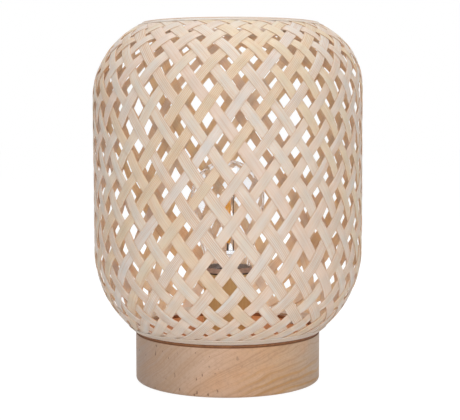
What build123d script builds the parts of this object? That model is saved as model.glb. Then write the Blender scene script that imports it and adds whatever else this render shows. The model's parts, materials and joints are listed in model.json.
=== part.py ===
from build123d import *
import math
import os

os.makedirs("parts", exist_ok=True)

# Lengths are in millimetres. The origin is the middle of the underside, at table level, with +Z up
# and the front of the lamp towards -Y.

# Base: a turned wooden disc, hollowed from below
base_diameter = 150.5
base_height = 39.2
base_top_round = 1.2
base_bottom_round = 2.5
top_web = 10.0  # wood left above the hollow
hollow_diameter = 104.0
rebate_diameter = 120.0  # ledge that takes the bottom cover

# Pads under the wood
foot_count = 4
foot_diameter = 9.0
foot_thickness = 1.6
foot_stand = 0.8  # how far the pads stand out of the wood
foot_circle_diameter = 132.0
foot_clearance = 0.1

# Bottom cover and its screws
cover_thickness = 3.0
cover_recess = 0.6  # how far the cover lies above the wood's underside
cover_clearance = 0.2
cover_screw_count = 3
cover_screw_diameter = 3.0
cover_screw_head_diameter = 5.8
cover_screw_length = 14.0
screw_clearance = 0.1  # on the radius, in every screw hole

# Battery box: three cells side by side
cell_count = 3
cell_diameter = 14.2
cell_length = 49.2
cell_nub_diameter = 5.4
cell_nub_height = 1.0
cell_pitch = 15.0
cell_clearance = 0.4
contact_space = 3.2  # between a cell and the box's end wall
box_wall = 1.6
box_centre_y = -12.0
rib_width = 1.2
rib_height = 3.0
contact_thickness = 0.4
contact_width = 9.0
contact_height = 10.0
tongue_width = 5.0

# Battery door, hinged on two stub pins
door_clearance = 0.3
door_pin_diameter = 1.6
door_pin_length = 2.0
pin_clearance = 0.05  # running fit, on the radius
door_notch_radius = 6.0

# Slide switch
switch_y = 34.0
switch_length = 15.0
switch_width = 8.0
switch_height = 6.0
switch_travel = 3.0
slider_length = 6.4
slider_width = 4.6
slider_height = 2.0
knob_size = 3.0
knob_stand = 0.4  # how far the knob stands out of the cover
switch_clearance = 0.3

# Circuit board on the battery box
board_length = 30.0
board_width = 24.0
board_thickness = 1.6
board_centre_y = -2.0
chip_size = 5.0
chip_height = 1.2
board_screw_spacing = 23.0
board_screw_diameter = 2.0
board_screw_head_diameter = 3.8
board_screw_head_height = 1.2
board_screw_length = 3.0

# Leads
lead_diameter = 1.2
lead_bend = 1.3
lead_side_gap = 0.1
lead_rise = 2.6  # height of a lead's bridge above the circuit board
lamp_lead_spacing = 3.6

# Threaded tube that holds the lamp holder on the base
nipple_diameter = 10.0
nipple_bore = 7.0
nipple_clearance = 0.2
nut_across_flats = 14.0
nut_thickness = 3.0
washer_diameter = 20.0
washer_thickness = 1.0
nipple_overhang = 1.4  # thread beyond each nut

# Wooden cup around the lamp holder
cup_bottom_diameter = 40.0
cup_top_diameter = 38.6
cup_floor = 4.0
cup_bore_diameter = 32.0
cup_edge_round = 0.8

# Lamp holder inside the cup
holder_clearance = 0.3
holder_wall = 1.5
holder_floor = 4.0
holder_drop = 1.2  # below the cup's rim
disc_thickness = 4.0
disc_ledge = 1.6
disc_gap = 0.6  # between the threaded tube and the disc
disc_side_gap = 0.1
screw_shell_wall = 0.4
screw_shell_drop = 2.0  # below the cup's rim
contact_strip_width = 5.0
contact_strip_thickness = 0.5
contact_strip_foot = 5.0  # lying on the disc
contact_strip_reach = 9.0  # from the axis to the foot's far end
contact_strip_top = 2.5  # half the length of its raised part
contact_strip_rise = 4.7  # from the disc to the top of its raised part

# Rubber collar between holder and bulb
collar_diameter = 39.6
collar_height = 5.0
collar_clearance = 0.3  # between the collar and the glass
collar_below_neck = 4.0  # from the bulb's neck down to the collar's seat

# Bulb
bulb_diameter = 60.0
belly_rise = 58.0  # from the neck up to the widest part
belly_radius = 100.0
neck_diameter = 37.0
neck_rise = 4.8  # above the cap
shoulder_radius = 4.0
shoulder_sweep = 75.0
glass_wall = 1.0
cap_diameter = 26.2
cap_length = 20.0
cap_wall = 0.4
cap_lip = 2.0
cap_glass_gap = 0.4
glass_in_cap = 8.0
glass_above_cap = 0.3
thread_clearance = 0.35
insulator_length = 3.6
insulator_diameter = 24.0
insulator_gap = 0.3  # between the insulator, which only lifts, and the cap, which also turns
tip_diameter = 9.0
tip_height = 1.6
tip_clearance = 0.3
stem_radius = 3.4
stem_flare_radius = 9.5
stem_rise = 15.8  # above the cap
stem_flare_length = 7.0
press_width = 11.0
press_thickness = 3.0
press_height = 3.0
filament_diameter = 5.0
filament_rise = 6.0  # above the stem's pressed end
filament_length = 44.0
wire_diameter = 0.8
anchor_diameter = 1.6
wire_bend = 1.5
side_wire_offset = 4.6
side_wire_rise = 3.0  # above the filament

# Shade: a barrel woven from bamboo strips that run both ways round it
shade_diameter = 216.5
rim_set_in = 2.0  # the middle of the lower hoop inside the edge of the base
top_rim_diameter = 140.0
lower_shoulder_height = 68.0
wall_height = 124.0
upper_shoulder_height = 55.9
hoop_size = 2.4  # a square split of bamboo
strip_count = 31  # each way
strip_closest_radius = 63.75  # where a strip would run level
strip_width = 8.8
strip_thickness = 0.45
strip_side_gap = 0.4  # between neighbours, where they crowd towards the rims
strip_start_angle = -88.8
weave_phase = 0.9  # height of the first crossing, in steps of the weave
weave_depth = 0.8  # how far a strip swings out of the wall and into it
plain_rows = 4  # crossings at each rim where the strips no longer change sides
hoop_gap = 0.5  # between a hoop and the strip ends
band_thickness = 0.5
outer_band_width = 9.0
inner_band_width = 5.2
outer_band_gap = 0.3  # between a rim band and the strips
inner_band_gap = 0.6

# Clips that hold the lower hoop down on the base
clip_count = 3
clip_start_angle = 30.0
clip_width = 9.0
clip_thickness = 0.8
clip_foot_length = 11.0
clip_gap = 0.2
clip_screw_diameter = 3.0
clip_screw_head_diameter = 5.6
clip_screw_head_height = 1.6
clip_screw_length = 8.0

# Places worked out from the sizes above
wood_bottom = foot_stand
base_top = wood_bottom + base_height
hollow_top = base_top - top_web
cover_bottom = wood_bottom + cover_recess
cover_top = cover_bottom + cover_thickness
ledge_middle_diameter = (hollow_diameter + rebate_diameter) / 2
bay_width = cell_count * cell_pitch
bay_length = cell_length + cell_nub_height + 2 * contact_space
bay_far_y = box_centre_y + bay_length / 2
bay_near_y = box_centre_y - bay_length / 2
cell_height = cover_top + cell_clearance + cell_diameter / 2
bay_top = cell_height + cell_diameter / 2 + cell_clearance
box_top = bay_top + box_wall
board_top = box_top + board_thickness
lead_bridge = board_top + lead_rise
cell_places = [(number - (cell_count - 1) / 2) * cell_pitch for number in range(cell_count)]
hinge_y = bay_far_y - door_clearance - cover_thickness / 2
hinge_height = cover_bottom + cover_thickness / 2
holder_bottom = base_top + cup_floor
holder_radius = cup_bore_diameter / 2 - holder_clearance
holder_bore = holder_radius - holder_wall
nipple_hole = nipple_diameter + 2 * nipple_clearance
nipple_bottom = hollow_top - washer_thickness - nut_thickness - nipple_overhang
nipple_top = holder_bottom + holder_floor + nut_thickness + nipple_overhang
disc_bottom = nipple_top + disc_gap
disc_top = disc_bottom + disc_thickness
strip_top = disc_top + contact_strip_rise
tip_bottom = strip_top + tip_clearance
insulator_bottom = tip_bottom + tip_height
cap_bottom = insulator_bottom + insulator_length
cap_top = cap_bottom + cap_length
neck_height = cap_top + neck_rise
belly_height = neck_height + belly_rise
cup_top = neck_height - collar_below_neck
stem_top = cap_top + stem_rise
press_top = stem_top + press_height
filament_bottom = press_top + filament_rise
filament_top = filament_bottom + filament_length
shade_radius = shade_diameter / 2
bottom_rim = base_diameter / 2 - rim_set_in
top_rim = top_rim_diameter / 2
rim_height = base_top + hoop_size / 2
wall_bottom = rim_height + lower_shoulder_height
wall_top = wall_bottom + wall_height
hoop_inside = bottom_rim - hoop_size / 2
clip_screw_circle = 2 * (hoop_inside - clip_gap - clip_thickness) - clip_foot_length


def round_face(height, diameter):
    """A round face at a height, centred on the lamp's axis."""
    with BuildSketch(Plane.XY.offset(height)) as face:
        Circle(diameter / 2)
    return face.sketch


def spread_faces(height, diameter, circle_diameter, count, start_angle):
    """Round faces at a height, spaced evenly on a circle about the lamp's axis."""
    with BuildSketch(Plane.XY.offset(height)) as faces:
        with PolarLocations(circle_diameter / 2, count, start_angle=start_angle):
            Circle(diameter / 2)
    return faces.sketch


def spot_faces(height, diameter, *centres):
    """Round faces at a height, each with its own centre."""
    with BuildSketch(Plane.XY.offset(height)) as faces:
        with Locations(*centres):
            Circle(diameter / 2)
    return faces.sketch


def plate_faces(height, length, width, *centres):
    """Rectangular faces at a height, with their length along X."""
    with BuildSketch(Plane.XY.offset(height)) as faces:
        with Locations(*centres):
            Rectangle(length, width)
    return faces.sketch


def outline(plane, *corners):
    """A face with straight sides on a plane, from its corners."""
    with BuildSketch(plane) as face:
        with BuildLine():
            Polyline(*corners, close=True)
        make_face()
    return face.sketch


def section(*corners):
    """Half the section of a turned piece, from its corners as (radius, height)."""
    return outline(Plane.XZ, *corners)


# ---------------------------------------------------------------- base


def cover_screw_faces(height, diameter):
    return spread_faces(height, diameter, ledge_middle_diameter, cover_screw_count, 90)


def clip_screw_faces(height, diameter):
    return spread_faces(height, diameter, clip_screw_circle, clip_count, clip_start_angle)


with BuildPart() as base_body:
    extrude(round_face(wood_bottom, base_diameter), amount=base_height)
    fillet(base_body.edges().group_by(Axis.Z)[-1], base_top_round)
    fillet(base_body.edges().group_by(Axis.Z)[0], base_bottom_round)
    extrude(round_face(wood_bottom, rebate_diameter), amount=cover_top - wood_bottom, mode=Mode.SUBTRACT)
    extrude(round_face(wood_bottom, hollow_diameter), amount=hollow_top - wood_bottom, mode=Mode.SUBTRACT)
    extrude(round_face(hollow_top, nipple_hole), amount=top_web, mode=Mode.SUBTRACT)
    extrude(
        spread_faces(wood_bottom, foot_diameter + 2 * foot_clearance, foot_circle_diameter, foot_count, 45),
        amount=foot_thickness - foot_stand,
        mode=Mode.SUBTRACT,
    )
    extrude(
        cover_screw_faces(cover_top, cover_screw_diameter + 2 * screw_clearance),
        amount=cover_screw_length - cover_thickness + screw_clearance,
        mode=Mode.SUBTRACT,
    )
    extrude(
        clip_screw_faces(base_top, clip_screw_diameter + 2 * screw_clearance),
        amount=clip_thickness - clip_screw_length - screw_clearance,
        mode=Mode.SUBTRACT,
    )
base_body.part.label = "base_body"
export_step(base_body.part, "parts/base_body.step")

with BuildPart() as feet:
    extrude(spread_faces(0, foot_diameter, foot_circle_diameter, foot_count, 45), amount=foot_thickness)
feet.part.label = "feet"
export_step(feet.part, "parts/feet.step")

with BuildPart() as bottom_cover:
    extrude(round_face(cover_bottom, rebate_diameter - 2 * cover_clearance), amount=cover_thickness)
    extrude(
        plate_faces(cover_bottom, bay_width, bay_length, (0, box_centre_y)),
        amount=cover_thickness,
        mode=Mode.SUBTRACT,
    )
    extrude(
        plate_faces(
            cover_bottom,
            knob_size + switch_travel + 2 * switch_clearance,
            knob_size + 2 * switch_clearance,
            (0, switch_y),
        ),
        amount=cover_thickness,
        mode=Mode.SUBTRACT,
    )
    extrude(
        cover_screw_faces(cover_bottom, cover_screw_diameter + 2 * screw_clearance),
        amount=cover_thickness,
        mode=Mode.SUBTRACT,
    )
    extrude(
        cover_screw_faces(cover_bottom, cover_screw_head_diameter + 2 * screw_clearance),
        amount=(cover_screw_head_diameter - cover_screw_diameter) / 2,
        taper=45,
        mode=Mode.SUBTRACT,
    )
    with BuildSketch(Plane.YZ):
        with Locations((hinge_y, hinge_height)):
            Circle(door_pin_diameter / 2 + pin_clearance)
    extrude(amount=bay_width / 2 + door_pin_length, both=True, mode=Mode.SUBTRACT)
bottom_cover.part.label = "bottom_cover"
export_step(bottom_cover.part, "parts/bottom_cover.step")

with BuildPart() as cover_screws:
    extrude(
        cover_screw_faces(cover_bottom, cover_screw_head_diameter),
        amount=(cover_screw_head_diameter - cover_screw_diameter) / 2,
        taper=45,
    )
    extrude(cover_screw_faces(cover_bottom, cover_screw_diameter), amount=cover_screw_length)
cover_screws.part.label = "cover_screws"
export_step(cover_screws.part, "parts/cover_screws.step")

# ---------------------------------------------------------------- battery box

# the end cells give up their power through leads: the first at the far end, the last at the near end
contact_top = cell_height + contact_height / 2
far_lead = (cell_places[0], bay_far_y - lead_diameter / 2 - lead_side_gap)
near_lead = (cell_places[-1], bay_near_y + lead_diameter / 2 + lead_side_gap)
board_screws_at = [(-board_screw_spacing / 2, board_centre_y), (board_screw_spacing / 2, board_centre_y)]
rib_places = [(place + cell_pitch / 2, box_centre_y) for place in cell_places[:-1]]

with BuildPart() as battery_box:
    extrude(
        plate_faces(cover_top, bay_width + 2 * box_wall, bay_length + 2 * box_wall, (0, box_centre_y)),
        amount=box_top - cover_top,
    )
    extrude(
        plate_faces(cover_top, bay_width, bay_length, (0, box_centre_y)),
        amount=bay_top - cover_top,
        mode=Mode.SUBTRACT,
    )
    extrude(plate_faces(bay_top - rib_height, rib_width, bay_length, *rib_places), amount=rib_height)
    extrude(
        spot_faces(bay_top, lead_diameter + 2 * cell_clearance, far_lead, near_lead),
        amount=box_wall,
        mode=Mode.SUBTRACT,
    )
    extrude(
        spot_faces(bay_top, board_screw_diameter + 2 * screw_clearance, *board_screws_at),
        amount=box_wall,
        mode=Mode.SUBTRACT,
    )
battery_box.part.label = "battery_box"
export_step(battery_box.part, "parts/battery_box.step")

# neighbouring cells point opposite ways; each lies against the plate at its nub's end
with BuildPart() as batteries:
    for number, place in enumerate(cell_places):
        away = 1 if number % 2 == 0 else -1
        nub_end = box_centre_y + away * (bay_length / 2 - contact_thickness)
        shoulder = nub_end - away * cell_nub_height
        with BuildSketch(Plane.XZ.offset(-shoulder)):
            with Locations((place, cell_height)):
                Circle(cell_diameter / 2)
        extrude(amount=away * cell_length)
        with BuildSketch(Plane.XZ.offset(-nub_end)):
            with Locations((place, cell_height)):
                Circle(cell_nub_diameter / 2)
        extrude(amount=away * cell_nub_height)
batteries.part.label = "batteries"
export_step(batteries.part, "parts/batteries.step")

with BuildPart() as contact_plates:
    for number, place in enumerate(cell_places):
        away = 1 if number % 2 == 0 else -1
        with BuildSketch(Plane.XZ.offset(-box_centre_y - away * bay_length / 2)):
            with Locations((place, cell_height)):
                Rectangle(contact_width, contact_height)
        extrude(amount=away * contact_thickness)
contact_plates.part.label = "contact_plates"
export_step(contact_plates.part, "parts/contact_plates.step")

# at a cell's flat end, a plate with a bent tongue that presses on the cell
with BuildPart() as contact_springs:
    for number, place in enumerate(cell_places):
        away = -1 if number % 2 == 0 else 1
        wall_y = box_centre_y + away * bay_length / 2
        cell_end = wall_y - away * (2 * contact_space - contact_thickness)
        with BuildSketch(Plane.XZ.offset(-wall_y)):
            with Locations((place, cell_height)):
                Rectangle(contact_width, contact_height)
        extrude(amount=away * contact_thickness)
        low = cell_height - contact_height / 2
        high = cell_height + contact_height / 4
        inner_y = wall_y - away * contact_thickness
        tongue = outline(
            Plane.YZ.offset(place),
            (inner_y, low),
            (cell_end, high),
            (cell_end + away * contact_thickness, high),
            (inner_y, low + 2 * contact_thickness),
        )
        extrude(tongue, amount=tongue_width / 2, both=True)
contact_springs.part.label = "contact_springs"
export_step(contact_springs.part, "parts/contact_springs.step")

with BuildPart() as battery_door:
    free_y = bay_near_y + door_clearance
    door_width = bay_width - 2 * door_clearance
    extrude(
        plate_faces(cover_bottom, door_width, hinge_y - free_y, (0, (hinge_y + free_y) / 2)),
        amount=cover_thickness,
    )
    with BuildSketch(Plane.YZ):
        with Locations((hinge_y, hinge_height)):
            Circle(cover_thickness / 2)
    extrude(amount=door_width / 2, both=True)
    with BuildSketch(Plane.YZ):
        with Locations((hinge_y, hinge_height)):
            Circle(door_pin_diameter / 2)
    extrude(amount=door_width / 2 + door_pin_length, both=True)
    extrude(
        spot_faces(cover_bottom, 2 * door_notch_radius, (0, free_y)),
        amount=cover_thickness / 2,
        mode=Mode.SUBTRACT,
    )
battery_door.part.label = "battery_door"
export_step(battery_door.part, "parts/battery_door.step")

# ---------------------------------------------------------------- switch and circuit board

with BuildPart() as switch_body:
    extrude(plate_faces(cover_top, switch_length, switch_width, (0, switch_y)), amount=switch_height)
    extrude(
        plate_faces(
            cover_top,
            slider_length + switch_travel + 2 * switch_clearance,
            slider_width + 2 * switch_clearance,
            (0, switch_y),
        ),
        amount=slider_height + 2 * switch_clearance,
        mode=Mode.SUBTRACT,
    )
switch_body.part.label = "switch_body"
export_step(switch_body.part, "parts/switch_body.step")

with BuildPart() as switch_slider:
    off_place = (-switch_travel / 2, switch_y)
    extrude(
        plate_faces(cover_top + switch_clearance, slider_length, slider_width, off_place),
        amount=slider_height,
    )
    extrude(
        plate_faces(cover_bottom - knob_stand, knob_size, knob_size, off_place),
        amount=cover_thickness + knob_stand + switch_clearance,
    )
switch_slider.part.label = "switch_slider"
export_step(switch_slider.part, "parts/switch_slider.step")

with BuildPart() as circuit_board:
    extrude(plate_faces(box_top, board_length, board_width, (0, board_centre_y)), amount=board_thickness)
    extrude(
        spot_faces(box_top, board_screw_diameter + 2 * screw_clearance, *board_screws_at),
        amount=board_thickness,
        mode=Mode.SUBTRACT,
    )
    extrude(
        plate_faces(board_top, chip_size, chip_size, (chip_size, board_centre_y - board_width / 4)),
        amount=chip_height,
    )
circuit_board.part.label = "circuit_board"
export_step(circuit_board.part, "parts/circuit_board.step")

with BuildPart() as board_screws:
    extrude(
        spot_faces(board_top, board_screw_head_diameter, *board_screws_at),
        amount=board_screw_head_height,
    )
    extrude(spot_faces(board_top, board_screw_diameter, *board_screws_at), amount=-board_screw_length)
board_screws.part.label = "board_screws"
export_step(board_screws.part, "parts/board_screws.step")


def lead(start, start_height, end):
    """A lead that rises from its start, bridges over to a pad and comes down on the circuit board."""
    with BuildPart() as wire:
        with BuildLine() as route:
            FilletPolyline(
                (*start, start_height),
                (*start, lead_bridge),
                (*end, lead_bridge),
                (*end, board_top),
                radius=lead_bend,
            )
        with BuildSketch(Plane.XY.offset(start_height)):
            with Locations(start):
                Circle(lead_diameter / 2)
        sweep(path=route.line)
    return wire.part


pad_x = board_length / 2 - lead_diameter
pad_far_y = board_centre_y + board_width / 2 - lead_diameter
pad_near_y = board_centre_y - board_width / 2 + lead_diameter
switch_top = cover_top + switch_height

with BuildPart() as inner_leads:
    add(lead(far_lead, contact_top, (-pad_x, pad_far_y)))
    add(lead(near_lead, contact_top, (pad_x, pad_near_y)))
    for side in (-1, 1):
        add(lead((side * switch_length / 4, switch_y), switch_top, (side * board_length / 6, pad_far_y)))
inner_leads.part.label = "inner_leads"
export_step(inner_leads.part, "parts/inner_leads.step")

with BuildPart() as lamp_leads:
    extrude(
        spot_faces(board_top, lead_diameter, (-lamp_lead_spacing / 2, 0), (lamp_lead_spacing / 2, 0)),
        amount=disc_bottom - board_top,
    )
lamp_leads.part.label = "lamp_leads"
export_step(lamp_leads.part, "parts/lamp_leads.step")

# ---------------------------------------------------------------- lamp holder

with BuildPart() as threaded_nipple:
    extrude(round_face(nipple_bottom, nipple_diameter), amount=nipple_top - nipple_bottom)
    extrude(round_face(nipple_bottom, nipple_bore), amount=nipple_top - nipple_bottom, mode=Mode.SUBTRACT)
threaded_nipple.part.label = "threaded_nipple"
export_step(threaded_nipple.part, "parts/threaded_nipple.step")

with BuildPart() as nipple_nuts:
    for height in (nipple_bottom + nipple_overhang, nipple_top - nipple_overhang - nut_thickness):
        with BuildSketch(Plane.XY.offset(height)):
            RegularPolygon(nut_across_flats / 2, 6, major_radius=False)
            Circle(nipple_diameter / 2 + pin_clearance, mode=Mode.SUBTRACT)
        extrude(amount=nut_thickness)
nipple_nuts.part.label = "nipple_nuts"
export_step(nipple_nuts.part, "parts/nipple_nuts.step")

with BuildPart() as nipple_washer:
    extrude(round_face(hollow_top, washer_diameter), amount=-washer_thickness)
    extrude(round_face(hollow_top, nipple_hole), amount=-washer_thickness, mode=Mode.SUBTRACT)
nipple_washer.part.label = "nipple_washer"
export_step(nipple_washer.part, "parts/nipple_washer.step")

with BuildPart() as holder_cup:
    revolve(
        section(
            (nipple_hole / 2, base_top),
            (cup_bottom_diameter / 2, base_top),
            (cup_top_diameter / 2, cup_top),
            (cup_bore_diameter / 2, cup_top),
            (cup_bore_diameter / 2, holder_bottom),
            (nipple_hole / 2, holder_bottom),
        ),
        axis=Axis.Z,
    )
    fillet(holder_cup.edges().group_by(Axis.Z)[-1].sort_by(SortBy.RADIUS)[-1], cup_edge_round)
holder_cup.part.label = "holder_cup"
export_step(holder_cup.part, "parts/holder_cup.step")

with BuildPart() as lampholder:
    holder_top = cup_top - holder_drop
    ledge_radius = holder_bore - disc_ledge
    revolve(
        section(
            (nipple_hole / 2, holder_bottom),
            (holder_radius, holder_bottom),
            (holder_radius, holder_top),
            (holder_bore, holder_top),
            (holder_bore, disc_bottom),
            (ledge_radius, disc_bottom),
            (ledge_radius, holder_bottom + holder_floor),
            (nipple_hole / 2, holder_bottom + holder_floor),
        ),
        axis=Axis.Z,
    )
lampholder.part.label = "lampholder"
export_step(lampholder.part, "parts/lampholder.step")

with BuildPart() as contact_disc:
    extrude(round_face(disc_bottom, 2 * (holder_bore - disc_side_gap)), amount=disc_thickness)
contact_disc.part.label = "contact_disc"
export_step(contact_disc.part, "parts/contact_disc.step")

with BuildPart() as screw_shell:
    shell_bore = cap_diameter + 2 * thread_clearance
    shell_length = cup_top - screw_shell_drop - disc_top
    extrude(round_face(disc_top, shell_bore + 2 * screw_shell_wall), amount=shell_length)
    extrude(round_face(disc_top, shell_bore), amount=shell_length, mode=Mode.SUBTRACT)
screw_shell.part.label = "screw_shell"
export_step(screw_shell.part, "parts/screw_shell.step")

with BuildPart() as centre_contact:
    thickness = contact_strip_thickness
    bent_strip = outline(
        Plane.XZ,
        (-contact_strip_reach, disc_top),
        (contact_strip_foot - contact_strip_reach, disc_top),
        (-contact_strip_top, strip_top - thickness),
        (contact_strip_top, strip_top - thickness),
        (contact_strip_top, strip_top),
        (-contact_strip_top - thickness / 2, strip_top),
        (contact_strip_foot - contact_strip_reach - thickness / 2, disc_top + thickness),
        (-contact_strip_reach, disc_top + thickness),
    )
    extrude(bent_strip, amount=contact_strip_width / 2, both=True)
centre_contact.part.label = "centre_contact"
export_step(centre_contact.part, "parts/centre_contact.step")

with BuildPart() as seal_collar:
    dish_radius = shoulder_radius + collar_clearance
    dish_centre = (neck_diameter / 2 - shoulder_radius, neck_height)
    dish_low = math.asin((neck_height - cup_top) / dish_radius)
    dish_start = (dish_centre[0] + dish_radius * math.cos(dish_low), cup_top)
    with BuildSketch(Plane.XZ):
        with BuildLine():
            Polyline(
                dish_start,
                (collar_diameter / 2, cup_top),
                (collar_diameter / 2, cup_top + collar_height),
                (dish_centre[0] + dish_radius, cup_top + collar_height),
                (dish_centre[0] + dish_radius, neck_height),
            )
            CenterArc(dish_centre, dish_radius, 0, -math.degrees(dish_low))
        make_face()
    revolve(axis=Axis.Z)
seal_collar.part.label = "seal_collar"
export_step(seal_collar.part, "parts/seal_collar.step")

# ---------------------------------------------------------------- bulb

neck_radius = neck_diameter / 2
bulb_radius = bulb_diameter / 2
belly_centre = bulb_radius - belly_radius
shoulder_centre = neck_radius - shoulder_radius
# the flare is the arc that leaves the neck upright and runs smoothly into the belly
flare_reach = neck_radius - belly_centre
flare_radius = (flare_reach**2 + belly_rise**2 - belly_radius**2) / (2 * (belly_radius - flare_reach))
flare_angle = math.degrees(math.atan2(belly_rise, flare_reach + flare_radius))
glass_neck = cap_diameter / 2 - cap_wall - cap_glass_gap
glass_bottom = cap_top - glass_in_cap
shoulder_low = (
    shoulder_centre + shoulder_radius * math.cos(math.radians(shoulder_sweep)),
    neck_height - shoulder_radius * math.sin(math.radians(shoulder_sweep)),
)

with BuildPart() as bulb_glass:
    with BuildSketch(Plane.XZ):
        with BuildLine():
            Polyline(
                (0, glass_bottom),
                (glass_neck, glass_bottom),
                (glass_neck, cap_top + glass_above_cap),
                shoulder_low,
            )
            CenterArc((shoulder_centre, neck_height), shoulder_radius, -shoulder_sweep, shoulder_sweep)
            CenterArc((neck_radius + flare_radius, neck_height), flare_radius, 180, -flare_angle)
            CenterArc((belly_centre, belly_height), belly_radius, -flare_angle, flare_angle)
            CenterArc((0, belly_height), bulb_radius, 0, 90)
            mirror(about=Plane.YZ)
        make_face()
        offset(amount=-glass_wall, mode=Mode.SUBTRACT)
        with Locations((bulb_diameter / 2, belly_height)):
            Rectangle(bulb_diameter, 4 * bulb_diameter, mode=Mode.INTERSECT)
    revolve(axis=Axis.Z)
bulb_glass.part.label = "bulb_glass"
export_step(bulb_glass.part, "parts/bulb_glass.step")

with BuildPart() as bulb_cap:
    cap_radius = cap_diameter / 2
    revolve(
        section(
            (cap_radius - cap_lip, cap_bottom),
            (cap_radius, cap_bottom),
            (cap_radius, cap_top),
            (cap_radius - cap_wall, cap_top),
            (cap_radius - cap_wall, cap_bottom + cap_wall),
            (cap_radius - cap_lip, cap_bottom + cap_wall),
        ),
        axis=Axis.Z,
    )
bulb_cap.part.label = "bulb_cap"
export_step(bulb_cap.part, "parts/bulb_cap.step")

with BuildPart() as bulb_insulator:
    insulator_top = cap_bottom - insulator_gap
    revolve(
        section(
            (0, insulator_bottom),
            (tip_diameter / 2, insulator_bottom),
            (insulator_diameter / 2, insulator_top),
            (0, insulator_top),
        ),
        axis=Axis.Z,
    )
bulb_insulator.part.label = "bulb_insulator"
export_step(bulb_insulator.part, "parts/bulb_insulator.step")

with BuildPart() as bulb_contact:
    extrude(round_face(tip_bottom, tip_diameter), amount=tip_height)
bulb_contact.part.label = "bulb_contact"
export_step(bulb_contact.part, "parts/bulb_contact.step")

with BuildPart() as glass_stem:
    stem_bottom = glass_bottom + glass_wall
    revolve(
        section(
            (0, stem_bottom),
            (stem_flare_radius, stem_bottom),
            (stem_radius, stem_bottom + stem_flare_length),
            (stem_radius, stem_top),
            (0, stem_top),
        ),
        axis=Axis.Z,
    )
    extrude(plate_faces(stem_top, press_width, press_thickness, (0, 0)), amount=press_height)
glass_stem.part.label = "glass_stem"
export_step(glass_stem.part, "parts/glass_stem.step")

with BuildPart() as led_filament:
    extrude(round_face(filament_bottom, filament_diameter), amount=filament_length)
    fillet(led_filament.edges().filter_by(GeomType.CIRCLE), filament_diameter / 2 * 0.96)
led_filament.part.label = "led_filament"
export_step(led_filament.part, "parts/led_filament.step")

with BuildPart() as support_wires:
    extrude(round_face(press_top, anchor_diameter), amount=filament_bottom - press_top)
    with BuildLine() as side_wire:
        FilletPolyline(
            (side_wire_offset, 0, press_top),
            (side_wire_offset, 0, filament_top + side_wire_rise),
            (0, 0, filament_top + side_wire_rise),
            (0, 0, filament_top),
            radius=wire_bend,
        )
    with BuildSketch(Plane.XY.offset(press_top)):
        with Locations((side_wire_offset, 0)):
            Circle(wire_diameter / 2)
    sweep(path=side_wire.line)
support_wires.part.label = "support_wires"
export_step(support_wires.part, "parts/support_wires.step")

# ---------------------------------------------------------------- woven shade


def shoulder(height, fall):
    """Radius and length of an arc that leaves the upright wall smoothly and draws in over a height."""
    radius = (height**2 + fall**2) / (2 * fall)
    return radius, radius * math.asin(height / radius)


lower_arc_radius, lower_arc_length = shoulder(lower_shoulder_height, shade_radius - bottom_rim)
upper_arc_radius, upper_arc_length = shoulder(upper_shoulder_height, shade_radius - top_rim)
wall_length = lower_arc_length + wall_height + upper_arc_length


def wall_at(run):
    """Radius, height and lean in radians of the wall's middle, a run up it from the lower rim."""
    if run < lower_arc_length:
        lean = (lower_arc_length - run) / lower_arc_radius
        return (
            shade_radius - lower_arc_radius * (1 - math.cos(lean)),
            wall_bottom - lower_arc_radius * math.sin(lean),
            lean,
        )
    if run < lower_arc_length + wall_height:
        return shade_radius, wall_bottom + run - lower_arc_length, 0.0
    lean = (lower_arc_length + wall_height - run) / upper_arc_radius
    return (
        shade_radius - upper_arc_radius * (1 - math.cos(lean)),
        wall_top - upper_arc_radius * math.sin(lean),
        lean,
    )


def beside_wall(run, out):
    """(radius, height) of a point that lies out from the wall's middle, square to it."""
    radius, height, lean = wall_at(run)
    return radius + out * math.cos(lean), height - out * math.sin(lean)


def point_by_wall(run, angle, out):
    """A point beside the wall, a run up it and an angle in radians round it."""
    radius, height = beside_wall(run, out)
    return Vector(radius * math.cos(angle), radius * math.sin(angle), height)


climb_step = 0.05
row_turn = math.pi / strip_count
strip_pitch = 360 / strip_count
strip_margin = hoop_size * math.sqrt(0.5) + hoop_gap


def strip_stations():
    """(run, turn, row) at a strip's two ends and at its crossings, where turn is its way round in radians.

    A strip laid flat on a surface of revolution keeps radius * cos(climb) the same all the way.
    """
    stations = []
    run, turn, row = 0.0, 0.0, 0
    while run < wall_length - strip_margin:
        radius = wall_at(run)[0]
        turn += climb_step * strip_closest_radius / (radius * math.sqrt(radius**2 - strip_closest_radius**2))
        run += climb_step
        crossed = turn >= (row + weave_phase) * row_turn
        if not stations and run >= strip_margin:
            stations.append((run, turn, row))
        elif stations and crossed and run > strip_margin + strip_width / 2:
            stations.append((run, turn, row))
        row += crossed
    stations[-1] = (run, turn, row)
    return stations


strip_path = strip_stations()
last_woven_row = strip_path[-1][2] - plain_rows


def flat_face(*corners):
    return Face(Wire.make_polygon(corners, close=True))


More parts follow.
